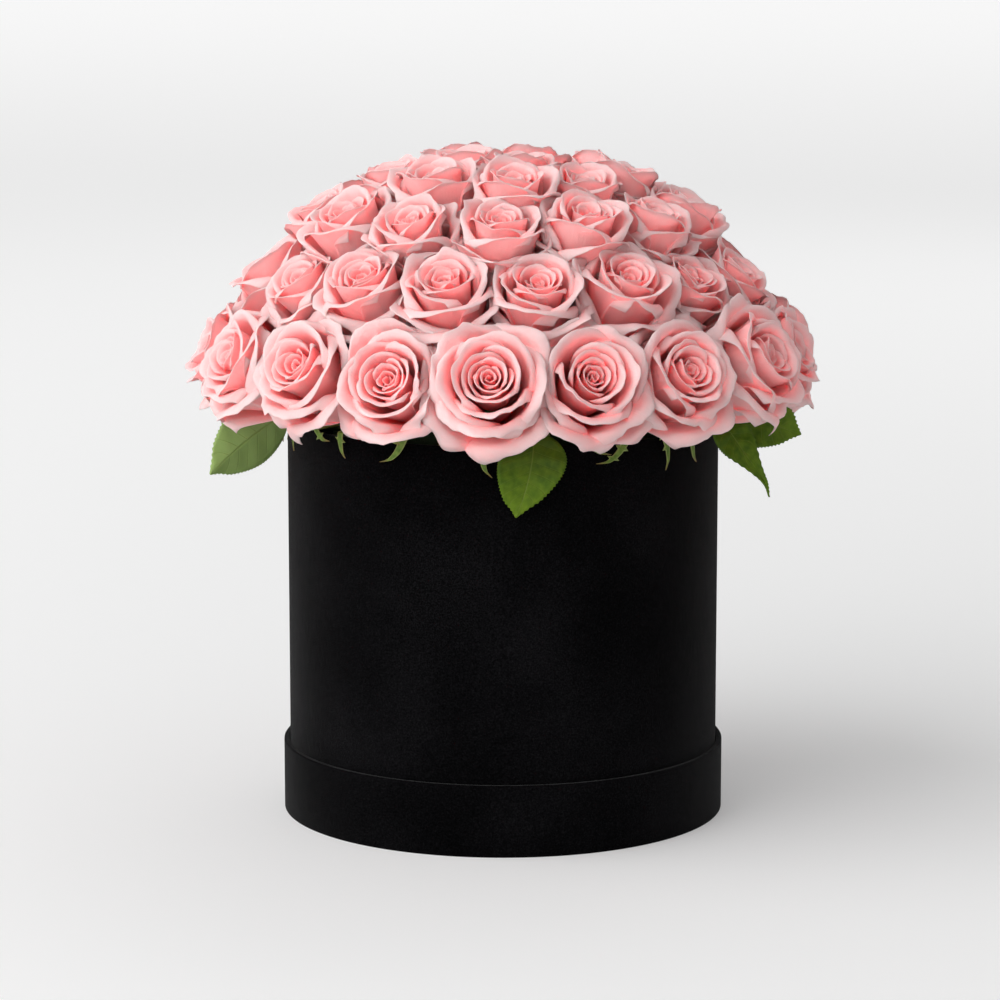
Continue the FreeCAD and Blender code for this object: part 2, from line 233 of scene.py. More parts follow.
def bump(tree, height, strength, distance):
    inputs = {"Height": height, "Strength": strength, "Distance": distance}
    return add(tree, "ShaderNodeBump", inputs).outputs["Normal"]


def object_coords(tree):
    return add(tree, "ShaderNodeTexCoord").outputs["Object"]


def petal_material():
    """Rose petal: coral at the foot, pink on the face, and paler along the rim, which browns in places."""
    material, tree, shader = new_material("rose_petal")
    uv, across, along = sheet_coords(tree)
    side_pale = times(tree, math_of(tree, "POWER", from_midline(tree, across), 9.0), 0.16)
    cloudy = noise(tree, object_coords(tree), 140.0, 2.0)
    drift = times(tree, math_of(tree, "SUBTRACT", cloudy, 0.5), 0.14)
    place = math_of(tree, "ADD", math_of(tree, "ADD", along, side_pale), drift)
    place = times(tree, place, attribute(tree, "petal_rim"), clamp=True)
    outside = ramp(
        tree,
        place,
        [
            (0.0, (0.94, 0.32, 0.27)),
            (0.16, (0.97, 0.28, 0.29)),
            (0.40, (0.955, 0.49, 0.49)),
            (0.68, (0.955, 0.655, 0.65)),
            (0.96, (0.955, 0.75, 0.74)),
        ],
    )
    inside = ramp(
        tree,
        place,
        [
            (0.0, (0.95, 0.20, 0.22)),
            (0.30, (0.955, 0.38, 0.385)),
            (0.55, (0.955, 0.615, 0.61)),
            (0.80, (0.96, 0.73, 0.725)),
            (0.97, (0.96, 0.775, 0.765)),
        ],
    )
    colour = blend(tree, attribute(tree, "petal_inside"), outside, inside)
    # Paler by each petal's tint: a random tint, more on guards, plus painted light on the upper rings, as
    # if lit from above
    colour = blend(tree, times(tree, attribute(tree, "petal_tint_and_light"), 0.35), colour, (0.96, 0.76, 0.75, 1.0))
    veins_at = add(tree, "ShaderNodeMapping", {"Vector": uv, "Scale": (46.0, 2.6, 1.0)}).outputs[0]
    veins = noise(tree, veins_at, 1.0, 4.0, 0.65)
    grain = noise(tree, object_coords(tree), 1500.0, 3.0, 0.6)
    texture = shares(tree, veins, 0.65, grain, 0.35)
    colour = blend(tree, times(tree, texture, 0.24), colour, (0.92, 0.25, 0.27, 1.0))
    edge = span(tree, place, 0.86, 0.98, 0.0, 0.40)
    worn = span(tree, cloudy, 0.54, 0.72)
    colour = blend(tree, times(tree, edge, worn), colour, (0.82, 0.52, 0.42, 1.0))
    tree.links.new(colour, shader.inputs["Base Color"])
    tree.links.new(bump(tree, texture, 0.7, 0.0006), shader.inputs["Normal"])
    tree.links.new(span(tree, place, 0.45, 0.9, 0.9, 0.1), shader.inputs["Subsurface Weight"])
    shader.subsurface_method = "BURLEY"
    set_inputs(
        shader,
        {
            "Roughness": 0.62,
            "Specular IOR Level": 0.25,
            "Subsurface Radius": (1.0, 0.17, 0.17),
            "Subsurface Scale": 0.007,
            "Sheen Weight": 0.06,
        },
    )
    return material


# Light that goes a little way into leaves, sepals and stems
GREEN_GLOW = {
    "Subsurface Weight": 0.08,
    "Subsurface Radius": (0.4, 0.8, 0.1),
    "Subsurface Scale": 0.002,
}


def leaf_material():
    """Rose leaf: green, with a painted shadow that darkens the foot under the roses and painted light that
    brightens the tip, and a pale midrib and side veins.
    """
    material, tree, shader = new_material("leaf_green")
    _, across, along = sheet_coords(tree)
    side = from_midline(tree, across)
    slope = math_of(tree, "SUBTRACT", along, times(tree, side, 0.16))
    wave = math_of(tree, "ABSOLUTE", math_of(tree, "SINE", times(tree, slope, 26.0)))
    side_vein = math_of(tree, "SUBTRACT", 1.0, times(tree, wave, 7.0), clamp=True)
    midrib = math_of(tree, "SUBTRACT", 1.0, times(tree, side, 26.0), clamp=True)
    vein = math_of(tree, "MAXIMUM", midrib, times(tree, side_vein, 0.55))
    mottle = noise(tree, object_coords(tree), 260.0, 4.0)
    colour = ramp(tree, mottle, [(0.3, (0.055, 0.120, 0.004)), (0.7, (0.125, 0.215, 0.010))])
    # Painted shadow: the foot of every leaf, under the roses, is darkened
    colour = blend(tree, span(tree, along, 0.1, 0.6, 0.6, 0.0), colour, (0.030, 0.066, 0.003, 1.0))
    # Painted light: the tip, out in the lamp light, is brightened towards yellow green
    colour = blend(tree, span(tree, along, 0.6, 1.0, 0.0, 0.45), colour, (0.21, 0.33, 0.02, 1.0))
    # Painted light: a pale green blended in by each leaf's share, standing in for lamp light and gloss
    colour = blend(tree, attribute(tree, "leaf_painted_light"), colour, (0.36, 0.50, 0.17, 1.0))
    colour = blend(tree, times(tree, vein, 0.45), colour, (0.22, 0.29, 0.05, 1.0))
    tree.links.new(colour, shader.inputs["Base Color"])
    height = shares(tree, mottle, 0.5, vein, -1.0)
    tree.links.new(bump(tree, height, 0.5, 0.0006), shader.inputs["Normal"])
    set_inputs(shader, {"Roughness": 0.45, "Specular IOR Level": 0.16, **GREEN_GLOW})
    return material


def green_material(name, dark, light, roughness, edged=False):
    """Calyxes and stems: streaked green, on sepals with pale edges and brownish tips."""
    material, tree, shader = new_material(name)
    streaks = noise(tree, object_coords(tree), 420.0, 4.0)
    colour = ramp(tree, streaks, [(0.3, dark), (0.7, light)])
    if edged:
        _, across, along = sheet_coords(tree)
        edge = span(tree, from_midline(tree, across), 0.55, 1.0, 0.0, 0.6)
        sepal = span(tree, along, 0.02, 0.25)
        colour = blend(tree, times(tree, edge, sepal), colour, (0.46, 0.50, 0.18, 1.0))
        colour = blend(tree, span(tree, along, 0.82, 1.0, 0.0, 0.7), colour, (0.30, 0.14, 0.06, 1.0))
    tree.links.new(colour, shader.inputs["Base Color"])
    tree.links.new(bump(tree, streaks, 0.3, 0.0004), shader.inputs["Normal"])
    set_inputs(shader, {"Roughness": roughness, "Specular IOR Level": 0.2, **GREEN_GLOW})
    return material


def velvet_material():
    """Black velvet: a dense short pile that lightens towards its outline, brushed unevenly."""
    material, tree, shader = new_material("velvet_black")
    coords = object_coords(tree)
    pile = noise(tree, coords, 1250.0, 4.0, 0.75)
    brushed = noise(tree, coords, 14.0, 3.0)
    mixed = shares(tree, pile, 0.68, brushed, 0.32)
    colour = ramp(
        tree,
        mixed,
        [
            (0.40, (0.0003, 0.0003, 0.0004)),
            (0.52, (0.0038, 0.0037, 0.0042)),
            (0.66, (0.0120, 0.0117, 0.0130)),
        ],
    )
    tree.links.new(colour, shader.inputs["Base Color"])
    tree.links.new(bump(tree, pile, 0.7, 0.0006), shader.inputs["Normal"])
    set_inputs(
        shader,
        {"Roughness": 0.95, "Specular IOR Level": 0.02, "Sheen Weight": 0.13, "Sheen Roughness": 0.24},
    )
    return material


def grained_material(name, dark, light, scale, roughness, relief):
    """Board, paper, plastic and foam: two tones of grain with a fine relief."""
    material, tree, shader = new_material(name)
    grain = noise(tree, object_coords(tree), scale, 5.0, 0.65)
    tree.links.new(ramp(tree, grain, [(0.3, dark), (0.7, light)]), shader.inputs["Base Color"])
    tree.links.new(bump(tree, grain, 0.5, relief), shader.inputs["Normal"])
    shader.inputs["Roughness"].default_value = roughness
    return material


PETAL = petal_material()
LEAF = leaf_material()
CALYX = green_material("calyx_green", (0.075, 0.150, 0.018), (0.18, 0.29, 0.045), 0.5, edged=True)
STEM = green_material("stem_green", (0.045, 0.085, 0.014), (0.10, 0.16, 0.03), 0.5)
VELVET_BLACK = velvet_material()
BOARD_GREY = grained_material("grey_board", (0.30, 0.28, 0.25), (0.42, 0.39, 0.35), 900.0, 0.9, 0.0003)
LINING = grained_material("lining_paper", (0.010, 0.010, 0.010), (0.022, 0.022, 0.022), 1500.0, 0.8, 0.0001)
TUB = grained_material("tub_plastic", (0.012, 0.012, 0.012), (0.02, 0.02, 0.02), 700.0, 0.4, 0.0001)
FOAM = grained_material("wet_foam", (0.012, 0.035, 0.012), (0.030, 0.075, 0.028), 1300.0, 0.9, 0.0006)


# Shared mesh helpers

def finish(bm, name, material, body, slot, *nodes):
    """Makes a smooth mesh piece of a bmesh, puts it under its body and hides the nodes it stands for. Its
    slot is not used.
    """
    mesh = bpy.data.meshes.new(name)
    bm.to_mesh(mesh)
    bm.free()
    mesh.shade_smooth()
    mesh.materials.append(material)
    piece = bpy.data.objects.new(name, mesh)
    bpy.context.scene.collection.objects.link(piece)
    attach(piece, body)
    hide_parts(*nodes)
    return piece


def thicken(piece, thickness):
    """Gives a sheet its thickness, half to each side."""
    modifier = piece.modifiers.new("thickness", "SOLIDIFY")
    modifier.thickness = thickness * MM
    modifier.offset = 0.0


def grid_sheet(bm, columns, rows, place):
    """Adds a grid and moves each of its points, given as across -1 to 1 and along 0 to 1, by place."""
    made = bmesh.ops.create_grid(bm, x_segments=columns, y_segments=rows, size=1.0, calc_uvs=True)
    verts = made["verts"]
    flat = np.array([vert.co[:2] for vert in verts])
    points = place(flat[:, 0], (flat[:, 1] + 1.0) / 2.0)
    for vert, point in zip(verts, points):
        vert.co = point
    return verts


def smoothstep(low, high, value):
    part = np.clip((value - low) / (high - low), 0.0, 1.0)
    return part * part * (3.0 - 2.0 * part)


# Roses

def rose_frames():
    """Every rose of the bouquet: its ring, the foot of its head and the axes of the head."""
    rng = random.Random(11)
    roses = []
    for ring, (count, turn, tilt) in RINGS.items():
        for number in range(count):
            azimuth = math.radians(turn + number * 360.0 / count)
            out = Vector((math.sin(azimuth), -math.cos(azimuth), 0.0))
            tangent = Vector((math.cos(azimuth), math.sin(azimuth), 0.0))
            stem = out * math.sin(math.radians(tilt)) + UP * math.cos(math.radians(tilt))
            up_lean = math.radians(LEAN[ring] - SPREAD[ring] * out.x**2 + rng.uniform(-3.0, 3.0))
            side_lean = math.radians(rng.uniform(-4.0, 4.0))
            axis = Matrix.Rotation(-up_lean, 3, tangent) @ stem
            if axis.z < stem.z:
                axis = Matrix.Rotation(up_lean, 3, tangent) @ stem
            axis = Matrix.Rotation(side_lean, 3, UP) @ axis
            across = tangent - axis * tangent.dot(axis)
            across.normalize()
            roses.append(
                {
                    "ring": ring,
                    "number": number,
                    "stem": stem,
                    "foot": CENTRE + stem * HEAD_FOOT,
                    "axes": Matrix((across, axis.cross(across), axis)).transposed(),
                    "size": SIZES.get((ring, number), rng.uniform(1.03, 1.15)) * RING_SIZE[ring],
                    "spin": rng.uniform(0.0, 2.0 * math.pi),
                    "open": rng.uniform(0.0, 1.0),
                    "seed": ring * 100 + number,
                }
            )
    for rose in roses:
        middle = rose["foot"] + rose["axes"] @ Vector((0, 0, HEAD_MIDDLE)) - CENTRE
        rose["toward"] = middle.normalized()
    return roses


# Petals in the order in which they open, innermost first: number, radius of the wall, radius where the
# rim starts to roll, height of that place, width, angle of the roll in degrees, length of the roll, and
# how much lower the petal's sides are than its middle
PETAL_KEYS = np.array(
    [
        (0, 0.9, 1.0, 38.8, 6.0, 15, 1.7, 0.5),
        (6, 4.6, 5.2, 41.2, 17.0, 34, 2.4, 1.5),
        (12, 8.6, 10.6, 42.6, 32.0, 50, 3.2, 3.5),
        (13, 9.6, 12.4, 42.6, 44.0, 56, 3.8, 5.5),
        (17, 12.4, 17.8, 39.0, 55.0, 76, 5.0, 7.5),
        (18, 12.8, 18.8, 38.0, 55.0, 78, 5.6, 7.5),
        (22, 14.8, 23.4, 32.0, 59.0, 96, 7.5, 9.0),
        (23, 15.4, 23.0, 27.0, 60.0, 70, 6.0, 8.0),
        (26, 16.6, 24.6, 22.0, 62.0, 70, 6.0, 8.0),
    ]
)
PETALS = {1: 23, 2: 26, 3: 26, 4: 26, 5: 26}
PETAL_THICKNESS = 0.32
# The eye comes before the cup, then the guards, and last those that the neighbours all but hide
FIRST_CUP, FIRST_GUARD, LAST_GUARD = 13, 18, 22
EYE_GRID, CUP_GRID, GUARD_GRID, HIDDEN_GRID = (14, 9), (22, 14), (28, 14), (16, 8)
GOLDEN = math.radians(137.508)
# How far petals may reach past the roses beside them, and how pale their rims are, by number
REACH_KEYS = ((FIRST_CUP, FIRST_GUARD, LAST_GUARD), (0.0, 2.5, 5.0))
RIM_KEYS = (
    (0, FIRST_CUP, FIRST_GUARD, LAST_GUARD, LAST_GUARD + 1),
    (0.72, 0.86, 0.94, 0.88, 0.5),
)
# Where along a petal its rim starts to roll, how its rows crowd towards the rim, and how round it is
ROLL_START, ROW_CROWDING, ROUNDNESS = 0.64, 1.45, 0.92
# Waves across a petal, as pairs of frequency and height: of its outline, its edge and its face
RIPPLES = ((5.1, 1.0), (9.7, 0.6))
NICKS = ((13.0, 1.0), (22.0, 0.8), (31.0, 0.5))
FOLDS = ((8.3, 1.0), (17.0, 0.7))


def petal_sizes(number, rng, openness, flare, guard_drop):
    """A petal's sizes in millimetres and radians, each with its own chance variation."""
    wall, top, height, width, roll, length, drop = (
        float(np.interp(number, PETAL_KEYS[:, 0], PETAL_KEYS[:, column])) for column in range(1, 8)
    )
    cup = 1.0 if number >= FIRST_CUP else 0.0
    guard = 1.0 if number >= FIRST_GUARD else 0.0
    swell = 0.93 + 0.14 * openness
    spread = guard * (4.0 * flare - 2.0 + rng.uniform(-1.0, 1.5))
    return {
        "base": 1.0 if cup else 20.0,
        "foot": 1.0 + 0.2 * number if cup else 0.8 * wall,
        "wall": wall * swell * rng.uniform(0.985, 1.015),
        "top": top * swell + cup * rng.uniform(-0.8, 0.8) + spread,
        "height": height
        + rng.uniform(-0.7, 0.7) * (1.6 - 0.6 * cup)
        + guard * (rng.uniform(-2.0, 2.0) - guard_drop),
        "width": width * rng.uniform(0.86, 1.10),
        "roll": math.radians(roll * rng.uniform(0.8, 1.2)),
        "length": length * rng.uniform(0.85, 1.15),
        "azimuth": number * GOLDEN + rng.uniform(-0.25, 0.25) * (3.0 - 2.0 * cup),
        "drop": drop * rng.uniform(0.7, 1.25),
        "wave": 0.2 + cup * rng.uniform(0.1, 0.5) + guard * rng.uniform(0.0, 0.6),
        "phase": [rng.uniform(0.0, 6.28) for _ in range(8)],
        "fold": 0.04 + cup * rng.uniform(0.05, 0.16) + guard * rng.uniform(0.0, 0.22),
        "lip": rng.uniform(0.0, 1.0) ** 2 * (0.3 + 1.5 * cup + 2.2 * guard),
        "curl": rng.uniform(0.1, 0.5) + guard * rng.uniform(0.0, 0.6),
        "twist": -0.25 if cup else 0.3,
        "side_roll": 0.4 + cup * rng.uniform(0.6, 2.0),
        "crease": (rng.uniform(-0.6, 0.6), rng.uniform(0.0, 0.09)),
    }


def waves(across, parts, phases):
    return sum(height * np.sin(pace * across + phase) for (pace, height), phase in zip(parts, phases))


def petal_points(across, along, size):
    """A cupped petal: its wall rises on a curve, then its rim rolls outwards."""
    along = 1.0 - (1.0 - along) ** ROW_CROWDING
    wall_part = np.clip(along / ROLL_START, 0.0, 1.0)
    roll_part = np.clip((along - ROLL_START) / (1.0 - ROLL_START), 0.0, 1.0)
    edge = np.abs(across)
    phase = size["phase"]
    outline = (1.0 - np.sqrt(1.0 - ROUNDNESS * across**2)) / (1.0 - math.sqrt(1.0 - ROUNDNESS))
    ripple = waves(across, RIPPLES, phase[0:2])
    top = size["height"] - size["drop"] * outline + 0.35 * size["wave"] * ripple

    # The wall is a cubic curve from the foot to the place where the rim starts to roll
    rise = top - size["base"]
    radius_1 = size["foot"] + 0.78 * (size["wall"] - size["foot"])
    radius_2 = size["wall"] * 1.03
    height_1 = size["base"] + 0.10 * rise
    height_2 = size["base"] + 0.56 * rise
    free = 1.0 - wall_part
    weights = (free**3, 3 * free**2 * wall_part, 3 * free * wall_part**2, wall_part**3)
    radii = (size["foot"], radius_1, radius_2, size["top"])
    heights = (size["base"], height_1, height_2, top)
    radius = sum(weight * given for weight, given in zip(weights, radii))
    height = sum(weight * given for weight, given in zip(weights, heights))

    # The rim is an arc that goes on from the wall, longer in the middle and nicked along its edge
    start = np.arctan2(size["top"] - radius_2, top - height_2)
    angle = size["roll"] * (1.0 + size["curl"] * edge**2)
    length = size["length"] * (1.0 - 0.30 * edge**3) + size["lip"] * np.exp(-((across / 0.2) ** 2))
    nicks = waves(across, NICKS, (phase[2], phase[4], phase[5]))
    length = length + 0.42 * size["wave"] * nicks
    end = start + angle * roll_part
    radius = radius + length * (np.cos(start) - np.cos(end)) / angle
    height = height + length * (np.sin(end) - np.sin(start)) / angle
    height = height + size["wave"] * roll_part**2 * np.sin(6.3 * across + phase[3])

    # The sides roll out, and the face has soft folds and one crease
    radius = radius + size["side_roll"] * smoothstep(0.72, 1.0, edge) ** 2 * smoothstep(0.15, 0.5, along)
    folds = waves(across, FOLDS, phase[6:8])
    radius = radius + size["fold"] * folds * smoothstep(0.25, 0.8, along)
    crease_at, crease_depth = size["crease"]
    crease = np.exp(-(((across - crease_at) / 0.16) ** 2)) * smoothstep(0.3, 0.9, along)
    radius = radius * (1.0 - crease_depth * crease)

    # The width goes round the head
    spread = np.sin(np.pi * (0.10 + 0.60 * along))
    turn = across * size["width"] * spread / (2.0 * np.maximum(radius, 2.2))
    turn = np.clip(turn, -3.3, 3.3)
    radius = np.maximum(radius + size["twist"] * turn, 0.15)
    azimuth = size["azimuth"] + turn
    return np.stack((radius * np.cos(azimuth), radius * np.sin(azimuth), height), axis=1)


def press_together(points, rose, roses, reach):
    """Presses petals back that come past the roses beside them by more than reach, or into the box."""
    middle = np.array(CENTRE)
    soft = PRESS_SOFTNESS
    for other in roses:
        if other is rose or rose["toward"].angle(other["toward"]) > NEIGHBOUR_ANGLE:
            continue
        normal = np.array((rose["toward"] - other["toward"]).normalized())
        room = reach + ROOM_SHARE * (rose["size"] - other["size"])
        depth = (points - middle) @ normal + room
        pressed = np.where(depth < soft, soft * np.exp((np.minimum(depth, soft) - soft) / soft), depth)
        points = points + np.outer(pressed - depth, normal)
    over_box = np.hypot(points[:, 0], points[:, 1]) < BOX_RADIUS + CLEARANCE
    raised = np.maximum(points[:, 2], RIM + CLEARANCE)
    points[:, 2] = np.where(over_box, raised, points[:, 2])
    return points


def line_petals(bm, inside):
    """Gives the petals their thickness, and marks the points of their inner faces."""
    order = bm.verts.layers.int.new("order")
    bm.normal_update()
    inner = []
    for index, vert in enumerate(bm.verts):
        vert[order] = index
        inner.append(vert.co - vert.normal * PETAL_THICKNESS * MM)
    shell = bmesh.ops.solidify(bm, geom=bm.faces[:], thickness=PETAL_THICKNESS * MM)["geom"]
    for vert in shell:
        if isinstance(vert, bmesh.types.BMVert):
            vert.co = inner[vert[order]]
            vert[inside] = 1.0
    bm.verts.layers.int.remove(order)


def petal_grid(number):
    """Columns and rows of a petal's sheet."""
    if number > LAST_GUARD:
        return HIDDEN_GRID
    if number >= FIRST_GUARD:
        return GUARD_GRID
    return CUP_GRID if number >= FIRST_CUP else EYE_GRID


def make_rose(rose, roses):
    rng = random.Random(rose["seed"])
    ring = rose["ring"]
    axes, foot = np.array(rose["axes"]), np.array(rose["foot"])
    bm = bmesh.new()
    bm.loops.layers.uv.new("UVMap")
    tint_and_light_layer = bm.verts.layers.float.new("petal_tint_and_light")
    rim = bm.verts.layers.float.new("petal_rim")
    inside = bm.verts.layers.float.new("petal_inside")
    for number in range(PETALS[ring]):
        size = petal_sizes(number, rng, rose["open"], FLARE[ring], GUARD_DROP[ring])
        size["azimuth"] += rose["spin"]
        reach = float(np.interp(number, *REACH_KEYS))

        def place(across, along):
            local = petal_points(across, along, size) * rose["size"]
            local[:, 2] *= STRETCH[ring]
            return press_together(local @ axes.T + foot, rose, roses, reach) * MM

        verts = grid_sheet(bm, *petal_grid(number), place)
        # A random tint, paler guards, and painted light that pales the upper rings as if lit from above
        tint_and_light = rng.uniform(0.0, 0.6) + 0.4 * (number >= FIRST_GUARD) + UPPER_PAINTED_LIGHT[ring]
        if number > LAST_GUARD:
            tint_and_light = 0.0
        paleness = np.interp(number, *RIM_KEYS)
        for vert in verts:
            vert[tint_and_light_layer] = tint_and_light
            vert[rim] = paleness
    line_petals(bm, inside)
    name = f"rose_{ring}_{rose['number'] + 1:02d}"
    finish(bm, name, PETAL, "arrangement", "rose_petal", f"ring_{ring}_rose_heads")


# Calyxes, stems and leaves

def frame_along(axis):
    """Axes whose third is axis."""
    side = axis.orthogonal().normalized()
    return Matrix((side, axis.cross(side), axis)).transposed()


def spin_round(bm, geom, steps):
    bmesh.ops.spin(
        bm, geom=geom, axis=(0, 0, 1), cent=(0, 0, 0), angle=2 * math.pi, steps=steps, use_merge=True
    )


def add_turned(bm, profile, steps, place):
    """Adds a round shape from its profile, pairs of radius and height, placed by a matrix."""
    verts = [bm.verts.new((radius, 0.0, height)) for radius, height in profile]
    edges = [bm.edges.new(pair) for pair in zip(verts, verts[1:])]
    before = set(bm.verts) - set(verts)
    spin_round(bm, verts + edges, steps)
    made = [vert for vert in bm.verts if vert not in before]
    bmesh.ops.remove_doubles(bm, verts=made, dist=MERGE)
    made = [vert for vert in bm.verts if vert not in before]
    faces = list({face for vert in made for face in vert.link_faces})
    bmesh.ops.recalc_face_normals(bm, faces=faces)
    bmesh.ops.transform(bm, matrix=Matrix.Scale(MM, 4) @ place, verts=made)


def sepal_points(across, along, path, side, wide, axis, width, hairs):
    """A slim pointed sepal that follows path, pairs of distance out and along the axis."""
    steps = np.linspace(0, 1, len(path))
    out = np.interp(along, steps, [point[0] for point in path])
    back = np.interp(along, steps, [point[1] for point in path])
    half = 0.5 * width * np.sin(np.pi * np.clip(0.30 + 0.70 * along, 0, 1)) ** 0.8 + 0.15
    half = half + hairs * (np.abs(across) > 0.9)
    cup = 0.7 * (1.0 - across**2) * (1.0 - along)
    return np.outer(out, side) + np.outer(across * half, wide) + np.outer(back - cup, axis)


# A hip from its foot up, as pairs of radius and height
HIP = (
    (0.0, -13.0),
    (2.7, -12.6),
    (3.4, -10.5),
    (5.3, -7.5),
    (6.1, -4.5),
    (5.8, -1.5),
    (5.0, 0.4),
    (0.0, 1.4),
)


def make_calyxes(ring, roses):
    """Hips with five slim sepals each, which bend back from the petals and carry a few hairs."""
    bm = bmesh.new()
    bm.loops.layers.uv.new("UVMap")
    rng = random.Random(40 + ring)
    for rose in roses:
        if rose["ring"] != ring:
            continue
        axes = frame_along(rose["stem"])
        place = Matrix.Translation(rose["foot"]) @ axes.to_4x4()
        add_turned(bm, HIP, HIP_STEPS, place)
        start = rng.uniform(0.0, 1.2)
        for sepal in range(5):
            azimuth = start + sepal * 2.0 * math.pi / 5.0 + rng.uniform(-0.15, 0.15)
            side = np.array(axes @ Vector((math.cos(azimuth), math.sin(azimuth), 0.0)))
            wide = np.array(axes @ Vector((-math.sin(azimuth), math.cos(azimuth), 0.0)))
            axis = np.array(rose["stem"])
            long = rng.uniform(0.85, 1.25)
            hang = rng.uniform(-1.0, 5.0)
            sway = wide * rng.choice((-1.0, 1.0)) * rng.uniform(3.0, 11.0)
            path = [
                (4.5, 0.2),
                (9.0, 2.2),
                (13.5 * long, 3.2),
                (17.5 * long, 1.5 - hang),
                (20.5 * long, -3.0 - 2 * hang),
                (22.0 * long, -8.0 - 3 * hang),
                (22.5 * long, -13.0 - 3 * hang),
            ]
            hairy = rng.choice(((), (13, 19, 25), (12, 17, 23, 30)))

            def place_sepal(across, along):
                row = np.rint(along * SEPAL_ROWS).astype(int)
                hairs = np.where(np.isin(row, hairy), SEPAL_HAIR, 0.0)
                local = sepal_points(across, along, path, side, wide, axis, SEPAL_WIDTH, hairs)
                points = local + np.outer(along**3, sway) + np.array(rose["foot"])
                return keep_off_box(points) * MM

            grid_sheet(bm, SEPAL_COLUMNS, SEPAL_ROWS, place_sepal)
    piece = finish(bm, f"calyxes_{ring}", CALYX, "arrangement", "calyx_green", f"ring_{ring}_calyxes")
    thicken(piece, SEPAL_THICKNESS)


def keep_off_box(points):
    """Moves points that would touch the outside of the box away from it."""
    radius = np.hypot(points[:, 0], points[:, 1])
    clear = BOX_RADIUS + CLEARANCE
    low = points[:, 2] < RIM + CLEARANCE
    away = np.where(low & (radius < clear), clear / np.maximum(radius, 1.0), 1.0)
    points[:, 0] *= away
    points[:, 1] *= away
    return points


def make_stems(ring, roses):
    """Cut stems with a few thorns, from the foam to the hips."""
    bm = bmesh.new()
    rng = random.Random(70 + ring)
    length = HIP_FOOT - STEM_FOOT
    profile = [
        (0.0, 0.0),
        (2.5, 0.0),
        (2.6, 0.3),
        (2.5, 0.5 * length),
        (2.4, 0.9 * length),
        (2.6, length + 0.5),
        (0.0, length + 0.5),
    ]
    thorn = [(1.1, 0.0), (0.6, 1.2), (0.0, 3.0)]
    for rose in roses:
        if rose["ring"] != ring:
            continue
        axes = frame_along(rose["stem"])
        place = Matrix.Translation(CENTRE + rose["stem"] * STEM_FOOT) @ axes.to_4x4()
        add_turned(bm, profile, STEM_STEPS, place)
        for _ in range(2):
            azimuth = rng.uniform(0.0, 2.0 * math.pi)
            side = axes @ Vector((math.cos(azimuth), math.sin(azimuth), 0.0))
            point = CENTRE + rose["stem"] * (CROWN + rng.uniform(2.5, 9.0)) + side * 2.2
            turned = frame_along((side - rose["stem"] * 0.5).normalized())
            add_turned(bm, thorn, THORN_STEPS, Matrix.Translation(point) @ turned.to_4x4())
    finish(bm, f"stems_{ring}", STEM, "arrangement", "stem_green", f"ring_{ring}_stems")


